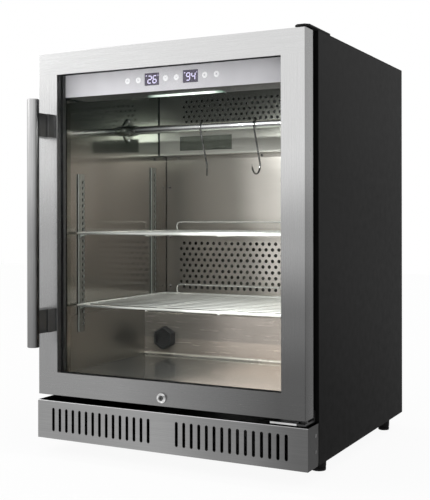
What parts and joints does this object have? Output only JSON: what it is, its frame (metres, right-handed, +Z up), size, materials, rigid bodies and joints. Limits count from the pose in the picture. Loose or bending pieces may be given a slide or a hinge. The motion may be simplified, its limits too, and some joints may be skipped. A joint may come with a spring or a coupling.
{
  "type": "dry aging cabinet",
  "caption": "Undercounter refrigerated cabinet with a framed glass door and bar handle, wire shelves, a hanging rod with hooks, and a perforated air wall inside.",
  "frame": {"origin": "on the floor under the middle of the bounding box, handle and hinge plate included", "axes": "+Z up, -Y towards the door and handle, +X to the hinge side"},
  "size_m": [0.595, 0.6464, 0.8213],
  "materials": {
    "aluminium_fin": "bare",
    "black_painted_steel": "satin black",
    "black_plastic": "matt",
    "black_rubber": "matt",
    "brushed_steel": "brushed",
    "chrome_wire": "polished",
    "clear_glass": "clear",
    "display_window": "tinted window",
    "liner_steel": "satin",
    "polyurethane_foam": "rigid foam, not seen from outside",
    "silver_plastic": "silver, satin",
    "white_plastic": "translucent diffuser",
    "zinc_plated_steel": "zinc plated"
  },
  "bodies": {
    "cabinet": {"air_wall": "liner_steel", "back_panel": "black_painted_steel", "base_pan": "zinc_plated_steel", "compressor": "black_painted_steel", "condenser": "aluminium_fin", "control_box": "black_plastic", "control_fascia": "silver_plastic", "display_board": "display_window", "evaporator": "aluminium_fin", "evaporator_cover": "liner_steel", "filter_cap": "black_plastic", "front_frame": "black_plastic", "hanging_rod": "chrome_wire", "hinge_bottom": "brushed_steel", "hinge_top": "black_painted_steel", "inlet_plate": "black_painted_steel", "insulation": "polyurethane_foam", "kick_plate": "brushed_steel", "lamp_lens": "white_plastic", "liner_floor": "liner_steel", "liner_left": "liner_steel", "liner_right": "liner_steel", "liner_roof_and_back": "liner_steel", "power_inlet": "black_plastic", "rod_bracket_left": "chrome_wire", "rod_bracket_right": "chrome_wire", "shelf_strip_left_front": "zinc_plated_steel", "shelf_strip_left_rear": "zinc_plated_steel", "shelf_strip_right_front": "zinc_plated_steel", "shelf_strip_right_rear": "zinc_plated_steel", "side_panel_left": "black_painted_steel", "side_panel_right": "black_painted_steel", "top_panel": "black_painted_steel"},
    "door": {"door_frame": "brushed_steel", "door_inner_frame": "black_plastic", "glass_outer": "clear_glass", "glass_spacer": "black_plastic", "glass_inner": "clear_glass", "door_gasket": "black_rubber", "lock_ring": "chrome_wire", "handle_tube": "brushed_steel", "handle_bracket_lower": "black_plastic", "handle_bracket_upper": "black_plastic"},
    "lock": {"lock_plug": "chrome_wire"},
    "shelf_upper": {"shelf_upper": "chrome_wire"},
    "shelf_lower": {"shelf_lower": "chrome_wire"},
    "hook_left": {"hook_left": "chrome_wire"},
    "hook_right": {"hook_right": "chrome_wire"},
    "evaporator_fan": {"evaporator_fan": "black_plastic"},
    "condenser_fan": {"condenser_fan": "black_plastic"},
    "button_left_inner": {"button_left_inner": "silver_plastic"},
    "button_left_middle": {"button_left_middle": "silver_plastic"},
    "button_left_outer": {"button_left_outer": "silver_plastic"},
    "button_right_inner": {"button_right_inner": "silver_plastic"},
    "button_right_middle": {"button_right_middle": "silver_plastic"},
    "button_right_outer": {"button_right_outer": "silver_plastic"},
    "foot_front_left": {"foot_front_left": "black_rubber"},
    "foot_front_right": {"foot_front_right": "black_rubber"},
    "foot_rear_left": {"foot_rear_left": "black_rubber"},
    "foot_rear_right": {"foot_rear_right": "black_rubber"}
  },
  "joints": [
    {"name": "door_swing", "type": "hinge", "parent": "cabinet", "child": "door", "pos_m": [0.283, -0.24115, 0.46725], "axis": [0, 0, 1], "range_deg": [0, 110]},
    {"name": "lock_turn", "type": "hinge", "parent": "door", "child": "lock", "pos_m": [0, -0.26115, 0.136], "axis": [0, 1, 0], "range_deg": [0, 90]},
    {"name": "button_left_inner_press", "type": "slide", "parent": "cabinet", "child": "button_left_inner", "axis": [0, 1, 0], "range_m": [0, 0.0008], "stiffness_N_per_m": 400, "springref_m": -0.0008},
    {"name": "button_left_middle_press", "type": "slide", "parent": "cabinet", "child": "button_left_middle", "axis": [0, 1, 0], "range_m": [0, 0.0008], "stiffness_N_per_m": 400, "springref_m": -0.0008},
    {"name": "button_left_outer_press", "type": "slide", "parent": "cabinet", "child": "button_left_outer", "axis": [0, 1, 0], "range_m": [0, 0.0008], "stiffness_N_per_m": 400, "springref_m": -0.0008},
    {"name": "button_right_inner_press", "type": "slide", "parent": "cabinet", "child": "button_right_inner", "axis": [0, 1, 0], "range_m": [0, 0.0008], "stiffness_N_per_m": 400, "springref_m": -0.0008},
    {"name": "button_right_middle_press", "type": "slide", "parent": "cabinet", "child": "button_right_middle", "axis": [0, 1, 0], "range_m": [0, 0.0008], "stiffness_N_per_m": 400, "springref_m": -0.0008},
    {"name": "button_right_outer_press", "type": "slide", "parent": "cabinet", "child": "button_right_outer", "axis": [0, 1, 0], "range_m": [0, 0.0008], "stiffness_N_per_m": 400, "springref_m": -0.0008},
    {"name": "shelf_upper_slide", "type": "slide", "parent": "cabinet", "child": "shelf_upper", "axis": [0, -1, 0], "range_m": [0, 0.025]},
    {"name": "shelf_lower_slide", "type": "slide", "parent": "cabinet", "child": "shelf_lower", "axis": [0, -1, 0], "range_m": [0, 0.025]},
    {"name": "hook_left_swing", "type": "hinge", "parent": "cabinet", "child": "hook_left", "pos_m": [-0.066, 0.02585, 0.6788], "axis": [1, 0, 0], "range_deg": [-25, 25]},
    {"name": "hook_right_swing", "type": "hinge", "parent": "cabinet", "child": "hook_right", "pos_m": [0.064, 0.02585, 0.6788], "axis": [1, 0, 0], "range_deg": [-25, 25]},
    {"name": "evaporator_fan_spin", "type": "hinge", "parent": "cabinet", "child": "evaporator_fan", "pos_m": [-0.116, 0.22525, 0.705], "axis": [0, 1, 0], "continuous": true},
    {"name": "condenser_fan_spin", "type": "hinge", "parent": "cabinet", "child": "condenser_fan", "pos_m": [-0.1668, 0.22735, 0.109], "axis": [1, 0, 0], "continuous": true},
    {"name": "foot_front_left_turn", "type": "hinge", "parent": "cabinet", "child": "foot_front_left", "pos_m": [-0.2655, -0.12665, 0], "axis": [0, 0, 1], "continuous": true},
    {"name": "foot_front_right_turn", "type": "hinge", "parent": "cabinet", "child": "foot_front_right", "pos_m": [0.2655, -0.12665, 0], "axis": [0, 0, 1], "continuous": true},
    {"name": "foot_rear_left_turn", "type": "hinge", "parent": "cabinet", "child": "foot_rear_left", "pos_m": [-0.2732, 0.25685, 0], "axis": [0, 0, 1], "continuous": true},
    {"name": "foot_rear_right_turn", "type": "hinge", "parent": "cabinet", "child": "foot_rear_right", "pos_m": [0.2732, 0.25685, 0], "axis": [0, 0, 1], "continuous": true}
  ]
}
